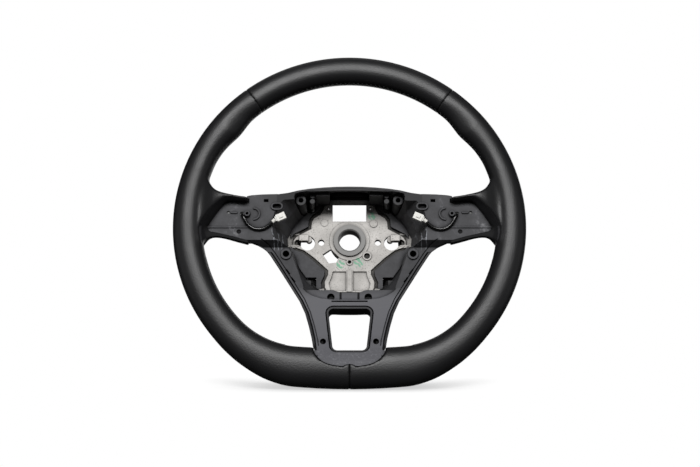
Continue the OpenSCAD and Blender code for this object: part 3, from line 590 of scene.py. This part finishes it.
def new_group(name, takes, gives):
    """An empty shader group with these sockets, and its two end nodes."""
    group = bpy.data.node_groups.new(name, "ShaderNodeTree")
    for label, kind in takes:
        group.interface.new_socket(label, in_out="INPUT", socket_type=kind)
    for label, kind in gives:
        group.interface.new_socket(label, in_out="OUTPUT", socket_type=kind)
    return group, group.nodes.new("NodeGroupInput"), group.nodes.new("NodeGroupOutput")


# A moulded or cast skin: rounded edges and a fine grain over them
skin_group, skin_in, skin_out = new_group(
    "moulded_skin",
    [("Edge", "NodeSocketFloat"), ("Grain Scale", "NodeSocketFloat"), ("Grain Depth", "NodeSocketFloat")],
    [("Normal", "NodeSocketVector"), ("Grain", "NodeSocketFloat")])
skin_place = skin_group.nodes.new("ShaderNodeTexCoord")
skin_noise = skin_group.nodes.new("ShaderNodeTexNoise")
skin_noise.inputs["Detail"].default_value = 3
skin_bevel = skin_group.nodes.new("ShaderNodeBevel")
skin_bevel.samples = 6
skin_bump = skin_group.nodes.new("ShaderNodeBump")
skin_bump.inputs["Strength"].default_value = 0.25
skin_group.links.new(skin_place.outputs["Object"], skin_noise.inputs["Vector"])
skin_group.links.new(skin_in.outputs["Grain Scale"], skin_noise.inputs["Scale"])
skin_group.links.new(skin_in.outputs["Edge"], skin_bevel.inputs["Radius"])
skin_group.links.new(skin_in.outputs["Grain Depth"], skin_bump.inputs["Distance"])
skin_group.links.new(skin_noise.outputs["Fac"], skin_bump.inputs["Height"])
skin_group.links.new(skin_bevel.outputs["Normal"], skin_bump.inputs["Normal"])
skin_group.links.new(skin_bump.outputs["Normal"], skin_out.inputs["Normal"])
skin_group.links.new(skin_noise.outputs["Fac"], skin_out.inputs["Grain"])

# Painted shade in holes and corners: the colour is darkened there from ambient occlusion, and the surface
# is duller there
hollow_shade_group, hollow_in, hollow_out = new_group(
    "painted_hollow_shade",
    [("Color", "NodeSocketColor"), ("Distance", "NodeSocketFloat"), ("Darkest", "NodeSocketFloat"),
     ("Shut", "NodeSocketFloat"), ("Open", "NodeSocketFloat"), ("Roughness", "NodeSocketFloat")],
    [("Color", "NodeSocketColor"), ("Roughness", "NodeSocketFloat")])
hollow_reach = hollow_shade_group.nodes.new("ShaderNodeAmbientOcclusion")
hollow_reach.samples = 8
hollow_shade_depth = hollow_shade_group.nodes.new("ShaderNodeMapRange")
hollow_dull = hollow_shade_group.nodes.new("ShaderNodeMapRange")
hollow_dull.inputs["To Min"].default_value = 1
hollow_shade_colour = hollow_shade_group.nodes.new("ShaderNodeVectorMath")
hollow_shade_colour.operation = "SCALE"
hollow_shade_group.links.new(hollow_in.outputs["Distance"], hollow_reach.inputs["Distance"])
for ramp in (hollow_shade_depth, hollow_dull):
    hollow_shade_group.links.new(hollow_reach.outputs["AO"], ramp.inputs["Value"])
    hollow_shade_group.links.new(hollow_in.outputs["Shut"], ramp.inputs["From Min"])
    hollow_shade_group.links.new(hollow_in.outputs["Open"], ramp.inputs["From Max"])
hollow_shade_group.links.new(hollow_in.outputs["Darkest"], hollow_shade_depth.inputs["To Min"])
hollow_shade_group.links.new(hollow_in.outputs["Roughness"], hollow_dull.inputs["To Max"])
hollow_shade_group.links.new(hollow_in.outputs["Color"], hollow_shade_colour.inputs[0])
hollow_shade_group.links.new(hollow_shade_depth.outputs["Result"], hollow_shade_colour.inputs["Scale"])
hollow_shade_group.links.new(hollow_shade_colour.outputs["Vector"], hollow_out.inputs["Color"])
hollow_shade_group.links.new(hollow_dull.outputs["Result"], hollow_out.inputs["Roughness"])


def placed_group(material, group, **values):
    """A shader group in a material, with its inputs set by name."""
    node = material.node_tree.nodes.new("ShaderNodeGroup")
    node.node_tree = group
    for name, value in values.items():
        node.inputs[name.replace("_", " ")].default_value = value
    return node


def moulded_skin(material, shader, edge, scale, depth):
    """Rounded edges and grain for a material. Returns the group's node."""
    skin = placed_group(material, skin_group, Edge=edge, Grain_Scale=scale, Grain_Depth=depth)
    join(material, skin.outputs["Normal"], shader.inputs["Normal"])
    return skin


def paint_hollow_shade(material, shader, colour, distance, darkest, shut=0.42, opened=0.92):
    """A material's colour with painted shade in its holes and corners, where it is also duller."""
    rough = shader.inputs["Roughness"].default_value
    hollow = placed_group(material, hollow_shade_group, Distance=distance, Darkest=darkest, Shut=shut,
                          Open=opened, Roughness=rough)
    join(material, colour, hollow.inputs["Color"])
    join(material, hollow.outputs["Color"], shader.inputs["Base Color"])
    join(material, hollow.outputs["Roughness"], shader.inputs["Roughness"])


def between(material, value, low, high, flip=False):
    """A mask that rises from 0 to 1 as a value goes from low to high."""
    ramp = material.node_tree.nodes.new("ShaderNodeMapRange")
    ramp.interpolation_type = "SMOOTHSTEP"
    ramp.inputs["From Min"].default_value = low
    ramp.inputs["From Max"].default_value = high
    if flip:
        ramp.inputs["To Min"].default_value = 1
        ramp.inputs["To Max"].default_value = 0
    join(material, value, ramp.inputs["Value"])
    return ramp.outputs["Result"]


def times(material, *masks):
    """Masks multiplied together."""
    product = masks[0]
    for mask in masks[1:]:
        node = material.node_tree.nodes.new("ShaderNodeMath")
        node.operation = "MULTIPLY"
        join(material, product, node.inputs[0])
        join(material, mask, node.inputs[1])
        product = node.outputs["Value"]
    return product


def painted(material, ground, colour, mask):
    """A ground colour with another laid over it through a mask."""
    layer = material.node_tree.nodes.new("ShaderNodeMix")
    layer.data_type = "RGBA"
    join(material, ground, layer.inputs["A"])
    layer.inputs["B"].default_value = (*colour, 1)
    join(material, mask, layer.inputs["Factor"])
    return layer.outputs["Result"]


def both_sides_of(material, place):
    """Object coordinates as separate values, the first one counted from the middle."""
    parts = node_in(material, "ShaderNodeSeparateXYZ")
    join(material, place.outputs["Object"], parts.inputs["Vector"])
    side = material.node_tree.nodes.new("ShaderNodeMath")
    side.operation = "ABSOLUTE"
    join(material, parts.outputs["X"], side.inputs[0])
    return side.outputs["Value"], parts.outputs["Y"], parts.outputs["Z"]


lip_mask = times(leather_black,
                 between(leather_black, parts.outputs["Y"], -0.0695, -0.0675),
                 between(leather_black, parts.outputs["Y"], -0.058, -0.056, True),
                 between(leather_black, out_along.outputs["Value"], 0.152, 0.155, True),
                 between(leather_black, parts.outputs["Z"], -0.001, 0.003, True))
join(leather_black, lip_mask, dull.inputs["Factor"])

FOAM_DARK = (0.034, 0.034, 0.037, 1)
FOAM_PALE = (0.066, 0.066, 0.073, 1)
LIT_LOWER_FOAM = (0.1, 0.1, 0.11)
SHADED_UPPER_FOAM = (0.028, 0.028, 0.03)
SPECKLE_GREY = (0.2, 0.2, 0.215)
SCUFF_GREY = (0.2, 0.2, 0.21)
CHALK_BLUE = (0.42, 0.44, 0.48)
PAINTED_HOLE_SHADE = (0.001, 0.001, 0.001)
foam_grey, foam_shader = new_material("foam_grey", (0.05, 0.05, 0.053), 0.66)
foam_shader.inputs["Specular IOR Level"].default_value = 0.4
place = node_in(foam_grey, "ShaderNodeTexCoord")
moulded_skin(foam_grey, foam_shader, 0.0007, 1400, 0.00018)
scuffs = node_in(foam_grey, "ShaderNodeTexNoise", Scale=60, Detail=6, Roughness=0.7)
specks = node_in(foam_grey, "ShaderNodeTexNoise", Scale=420, Detail=5, Roughness=0.8)
for texture in (scuffs, specks):
    join(foam_grey, place.outputs["Object"], texture.inputs["Vector"])
foam_tone = foam_grey.node_tree.nodes.new("ShaderNodeValToRGB")
foam_tone.color_ramp.elements[0].position = 0.35
foam_tone.color_ramp.elements[0].color = FOAM_DARK
foam_tone.color_ramp.elements[1].position = 0.75
foam_tone.color_ramp.elements[1].color = FOAM_PALE
join(foam_grey, scuffs.outputs["Fac"], foam_tone.inputs["Fac"])
from_middle, _, upwards = both_sides_of(foam_grey, place)
# Painted light: the foam below the V is made lighter
lit_low_part = between(foam_grey, upwards, -0.06, -0.075)
foam_colour = painted(foam_grey, foam_tone.outputs["Color"], LIT_LOWER_FOAM, lit_low_part)
tongue_part = between(foam_grey, upwards, -0.128, -0.136)
speckled = times(foam_grey, tongue_part, between(foam_grey, specks.outputs["Fac"], 0.5, 0.72))
foam_colour = painted(foam_grey, foam_colour, SPECKLE_GREY, speckled)
seat_scuffs = times(foam_grey, between(foam_grey, from_middle, 0.09, 0.1),
                    between(foam_grey, scuffs.outputs["Fac"], 0.56, 0.74))
foam_colour = painted(foam_grey, foam_colour, SCUFF_GREY, seat_scuffs)
# Chalk marks beside the well, from fitting the cover
chalk_lines = node_in(foam_grey, "ShaderNodeTexWave", Scale=68, Distortion=5.5, Detail=3, Detail_Scale=1.2)
chalk_lines.bands_direction = "X"
join(foam_grey, place.outputs["Object"], chalk_lines.inputs["Vector"])
chalk = times(foam_grey,
              between(foam_grey, chalk_lines.outputs["Fac"], 0.93, 0.99),
              between(foam_grey, scuffs.outputs["Fac"], 0.4, 0.55),
              between(foam_grey, from_middle, 0.067, 0.07),
              between(foam_grey, from_middle, 0.08, 0.084, True),
              between(foam_grey, upwards, -0.024, -0.018),
              between(foam_grey, upwards, -0.003, 0.002, True))
foam_colour = painted(foam_grey, foam_colour, CHALK_BLUE, chalk)
# Painted shade: the foam of the upper bar is darkened
shaded_upper_part = times(foam_grey, between(foam_grey, upwards, 0.022, 0.032),
                   between(foam_grey, from_middle, 0.082, 0.1, True))
foam_colour = painted(foam_grey, foam_colour, SHADED_UPPER_FOAM, shaded_upper_part)


def in_small_holes(material, from_middle, upwards, holes):
    """A mask of the insides of narrow holes, given as distance out, height and radius."""
    spot = node_in(material, "ShaderNodeCombineXYZ")
    join(material, from_middle, spot.inputs["X"])
    join(material, upwards, spot.inputs["Z"])
    found = None
    for out, height, radius in holes:
        apart = node_in(material, "ShaderNodeVectorMath")
        apart.operation = "DISTANCE"
        join(material, spot.outputs["Vector"], apart.inputs[0])
        apart.inputs[1].default_value = (out, 0, height)
        one = between(material, apart.outputs["Value"], radius, radius + 0.0002, True)
        if found is None:
            found = one
            continue
        either = material.node_tree.nodes.new("ShaderNodeMath")
        either.operation = "MAXIMUM"
        join(material, found, either.inputs[0])
        join(material, one, either.inputs[1])
        found = either.outputs["Value"]
    return found


# Painted shade: the insides of the narrow screw and clip holes are painted black, as no light comes back
# out of them. Some of them reach into the casting.
SMALL_HOLES = [(0.1284, 0.0164, 0.00175), (0.117, -0.0044, 0.00235), (0.114, 0.015, 0.00225),
               (0.1084, 0.0146, 0.00155), (0.0674, -0.026, 0.0035), (0.0274, -0.123, 0.0031),
               (0.0198, -0.0706, 0.004)]
FIRST_IN_CASTING = 4
foam_colour = painted(foam_grey, foam_colour, PAINTED_HOLE_SHADE,
                      in_small_holes(foam_grey, from_middle, upwards, SMALL_HOLES))
# Painted shade in the foam's holes and corners
paint_hollow_shade(foam_grey, foam_shader, foam_colour, 0.006, 0.12)
foam = dress("foam_body", "foam_moulding", "foam", 32, foam_grey)
# The drawing leaves a thin fang beside each leg, where a seat's corner meets the leg's face. It is
# pressed flat onto that face here.
FANG_NEAR = 0.088
FANG_FAR = 0.092
FANG_LOW = -0.023
FANG_HIGH = -0.02
FANG_TIP = -0.0635
LEG_FACE = -0.0507
for vertex in foam.data.vertices:
    beside_leg = FANG_NEAR < abs(vertex.co.x) < FANG_FAR and FANG_LOW < vertex.co.z < FANG_HIGH
    if beside_leg and vertex.co.y < FANG_TIP:
        vertex.co.y = LEG_FACE

# The leather's edge is folded down into a narrow groove round the tongue of foam at the bottom.
# Only places where the foam stands high enough get the hem.
HEM_LEAST_LEVEL = 70
HEM_LIFT = 0.1
HEM_RADIUS = 0.001
groove = []
for x, y in smooth_outline(both_halves([(38, -130)] + TONGUE[1:]), 4):
    start = in_car(x, y, 130)
    hit, landing, _, _ = foam.ray_cast(start, Vector((0, 1, 0)))
    level = -1000 * landing.y if hit else 0
    if level > HEM_LEAST_LEVEL:
        groove.append(in_car(x, y, level + HEM_LIFT))
tube("tongue_hem", [groove], HEM_RADIUS, hem_black)


# Rear cover
# One shell of black plastic with a fine texture, clipped on from behind. Its lip stands round
# the foam, its collar lines the lower window, and bosses and pins stand in the upper pockets.
cover_black, cover_shader = new_material("cover_black", (0.03, 0.03, 0.032), 0.6)
cover_shader.inputs["Specular IOR Level"].default_value = 0.35
moulded_skin(cover_black, cover_shader, 0.0008, 2200, 0.00015)
cover_tone = node_in(cover_black, "ShaderNodeRGB")
cover_tone.outputs[0].default_value = (0.022, 0.022, 0.024, 1)
# Painted shade in the cover's holes and corners
paint_hollow_shade(cover_black, cover_shader, cover_tone.outputs[0], 0.006, 0.35)
dress("rear_cover", "rear_shell", "cover", 35, cover_black)


# Cast frame and hub
# The frame is one magnesium casting, bright and slightly grainy as it comes from the die. A
# steel bush is cast into its middle for the column.
CAST_DARK = (0.4, 0.385, 0.365, 1)
CAST_PALE = (0.58, 0.56, 0.535, 1)
STEP_GREY = (0.12, 0.114, 0.107)
BLOTCH_GREY = (0.25, 0.24, 0.225)
INK_GREEN = (0.2, 0.4, 0.28)
cast_metal, cast_shader = new_material("cast_metal", (0.5, 0.49, 0.47), 0.66, 0.2)
place = node_in(cast_metal, "ShaderNodeTexCoord")
cast_grain = node_in(cast_metal, "ShaderNodeTexNoise", Scale=900, Detail=4)
cast_stains = node_in(cast_metal, "ShaderNodeTexNoise", Scale=55, Detail=5)
for texture in (cast_grain, cast_stains):
    join(cast_metal, place.outputs["Object"], texture.inputs["Vector"])
moulded_skin(cast_metal, cast_shader, 0.0011, 900, 0.0002)
cast_tone = cast_metal.node_tree.nodes.new("ShaderNodeValToRGB")
cast_tone.color_ramp.elements[0].position = 0.3
cast_tone.color_ramp.elements[0].color = CAST_DARK
cast_tone.color_ramp.elements[1].position = 0.7
cast_tone.color_ramp.elements[1].color = CAST_PALE
join(cast_metal, cast_stains.outputs["Fac"], cast_tone.inputs["Fac"])
from_middle, backwards, upwards = both_sides_of(cast_metal, place)
step_band = times(cast_metal, between(cast_metal, backwards, -0.0033, -0.0031),
                  between(cast_metal, backwards, -0.0014, -0.0012, True))
cast_colour = painted(cast_metal, cast_tone.outputs["Color"], STEP_GREY, step_band)
blotch = between(cast_metal, cast_grain.outputs["Fac"], 0.56, 0.66)
cast_colour = painted(cast_metal, cast_colour, BLOTCH_GREY, times(cast_metal, blotch, blotch))
# Two dabs and a smear of green marking ink
INK = [((-0.0098, -0.005, -0.0265), 0.0047),
       ((0.0098, -0.005, -0.0245), 0.0054),
       ((0.0248, -0.005, 0.0283), 0.0045)]
strokes = node_in(cast_metal, "ShaderNodeTexWave", Scale=95, Distortion=7, Detail=2, Detail_Scale=1.5)
strokes.bands_direction = "DIAGONAL"
join(cast_metal, place.outputs["Object"], strokes.inputs["Vector"])
for centre, size in INK:
    apart = node_in(cast_metal, "ShaderNodeVectorMath")
    apart.operation = "DISTANCE"
    join(cast_metal, place.outputs["Object"], apart.inputs[0])
    apart.inputs[1].default_value = centre
    dab = times(cast_metal, between(cast_metal, apart.outputs["Value"], size * 0.8, size * 1.15, True),
                between(cast_metal, strokes.outputs["Fac"], 0.22, 0.5))
    cast_colour = painted(cast_metal, cast_colour, INK_GREEN, dab)
# Painted shade: the insides of the holes that reach into the casting are painted black
cast_colour = painted(cast_metal, cast_colour, PAINTED_HOLE_SHADE,
                      in_small_holes(cast_metal, from_middle, upwards, SMALL_HOLES[FIRST_IN_CASTING:]))
# Painted shade in the casting's holes and corners
paint_hollow_shade(cast_metal, cast_shader, cast_colour, 0.009, 0.14, 0.35, 0.94)
dress("armature", "cast_frame", "casting", 34, cast_metal)

bush_steel, bush_shader = new_material("bush_steel", (0.2, 0.197, 0.192), 0.6, 0.3)
moulded_skin(bush_steel, bush_shader, 0.0005, 600, 0.00005)
dress("hub_bush", "column_bush", "steel", 32, bush_steel)

screw_steel, _ = new_material("screw_steel", (0.42, 0.42, 0.43), 0.35, 0.9)
dress("cover_screws", "cover_fixings", "screws", 32, screw_steel)


# Connectors
# A white moulded two-way housing on the end of each lead, with a brass terminal in each way.
nylon_white, nylon_shader = new_material("nylon_white", (0.72, 0.71, 0.67), 0.55)
moulded_skin(nylon_white, nylon_shader, 0.0004, 1200, 0.00004)
terminal_brass, _ = new_material("terminal_brass", (0.6, 0.46, 0.22), 0.35, 0.9)
NECK_POINTS = 4
NECK_RADIUS = 0.0021
for side_name in ("left", "right"):
    housing = dress("connector_" + side_name, "plug_housing_" + side_name, "connector", 30, nylon_white)
    contacts = dress("terminals_" + side_name, "plug_contacts_" + side_name, "terminals", 30,
                     terminal_brass)
    lead, route, length = leads[side_name]
    neck = tube("plug_neck_" + side_name, [route[-NECK_POINTS:]], NECK_RADIUS, nylon_white)


# Stage
# A white backdrop, and a strip of white floor on which the rim stands, under one wide soft light
# in front, with weak ones in front, overhead, behind and at both sides. The camera sees the floor
# glow. Near the rim the floor also takes the lamps' light and real shadow, and its glow is darkened
# by ambient occlusion, a painted shadow. All other rays see it nearly black.
FLOOR_TILT = math.radians(14.72)
FLOOR_DROP = 0.1499
FADE_START = 0.08
FADE_END = 0.22
bpy.ops.mesh.primitive_plane_add(
    size=1,
    location=(0, FLOOR_DROP * math.sin(FLOOR_TILT), -FLOOR_DROP * math.cos(FLOOR_TILT)),
    rotation=(FLOOR_TILT, 0, 0))
sheet = bpy.context.object
sheet.name = "table"
table_white = bpy.data.materials.new("table_white")
table_white.use_nodes = True
tree = table_white.node_tree
surface = tree.nodes["Principled BSDF"]
surface.inputs["Base Color"].default_value = (0.3, 0.3, 0.3, 1)
surface.inputs["Roughness"].default_value = 0.9
surface.inputs["Specular IOR Level"].default_value = 0.1
dim = node_in(table_white, "ShaderNodeBsdfDiffuse", Color=(0.05, 0.05, 0.05, 1))
# Painted shadow: ambient occlusion darkens the floor's glow near the rim
painted_contact_shadow = node_in(table_white, "ShaderNodeAmbientOcclusion", Distance=0.16)
painted_contact_shadow.samples = 16
painted_shadow_level = node_in(table_white, "ShaderNodeMapRange", From_Min=0.5, To_Min=0.5, To_Max=0.98)
glow = tree.nodes.new("ShaderNodeEmission")
tree.links.new(painted_contact_shadow.outputs["AO"], painted_shadow_level.inputs["Value"])
tree.links.new(painted_shadow_level.outputs["Result"], glow.inputs["Strength"])
plain = node_in(table_white, "ShaderNodeEmission", Strength=1.0)
spot = node_in(table_white, "ShaderNodeTexCoord")
reach = node_in(table_white, "ShaderNodeVectorMath")
reach.operation = "LENGTH"
near = tree.nodes.new("ShaderNodeMapRange")
near.interpolation_type = "SMOOTHSTEP"
near.inputs["From Min"].default_value = FADE_START
near.inputs["From Max"].default_value = FADE_END
both = node_in(table_white, "ShaderNodeAddShader")
fade = node_in(table_white, "ShaderNodeMixShader")
sight = node_in(table_white, "ShaderNodeLightPath")
pick = node_in(table_white, "ShaderNodeMixShader")
tree.links.new(spot.outputs["Object"], reach.inputs[0])
tree.links.new(reach.outputs["Value"], near.inputs["Value"])
tree.links.new(surface.outputs["BSDF"], both.inputs[0])
tree.links.new(glow.outputs["Emission"], both.inputs[1])
tree.links.new(near.outputs["Result"], fade.inputs["Fac"])
tree.links.new(both.outputs["Shader"], fade.inputs[1])
tree.links.new(plain.outputs["Emission"], fade.inputs[2])
tree.links.new(sight.outputs["Is Camera Ray"], pick.inputs["Fac"])
tree.links.new(dim.outputs["BSDF"], pick.inputs[1])
tree.links.new(fade.outputs["Shader"], pick.inputs[2])
tree.links.new(pick.outputs["Shader"], tree.nodes["Material Output"].inputs["Surface"])
sheet.data.materials.append(table_white)

world = bpy.data.worlds.new("room")
scene.world = world
world.use_nodes = True
room = world.node_tree
room_light = room.nodes["Background"]
room_light.inputs["Color"].default_value = (1, 1, 1, 1)
room_sight = room.nodes.new("ShaderNodeLightPath")
room_strength = room.nodes.new("ShaderNodeMapRange")
room_strength.inputs["To Min"].default_value = 0.02
room_strength.inputs["To Max"].default_value = 1.0
room.links.new(room_sight.outputs["Is Camera Ray"], room_strength.inputs["Value"])
room.links.new(room_strength.outputs["Result"], room_light.inputs["Strength"])

LAMPS = [
    ("key_softbox", (-0.07, -1.9, 0.79), (0, -0.05, 0), 1.12, 0.54, 45),
    ("front_fill", (0.1, -1.7, 0.15), (0, 0, 0), 1.3, 1.3, 1.2),
    ("top_softbox", (0.0, 0.45, 1.4), (0, 0, -0.15), 1.4, 0.9, 1.4),
    ("back_fill", (0.5, 1.6, 0.5), (0, 0, 0), 1.5, 1.5, 8),
    ("left_side_box", (-1.5, -0.5, 0), (0, 0, 0), 1.2, 1, 1.6),
    ("right_side_box", (1.5, -0.5, 0), (0, 0, 0), 1.2, 1, 1.6),
]
for name, place_at, aim, width, height, power in LAMPS:
    lamp_data = bpy.data.lights.new(name, "AREA")
    lamp_data.shape = "RECTANGLE"
    lamp_data.size = width
    lamp_data.size_y = height
    lamp_data.energy = power
    lamp = bpy.data.objects.new(name, lamp_data)
    lamp.location = place_at
    lamp.rotation_euler = (Vector(aim) - Vector(place_at)).to_track_quat("-Z", "Y").to_euler()
    scene.collection.objects.link(lamp)
scene.view_settings.view_transform = "Standard"
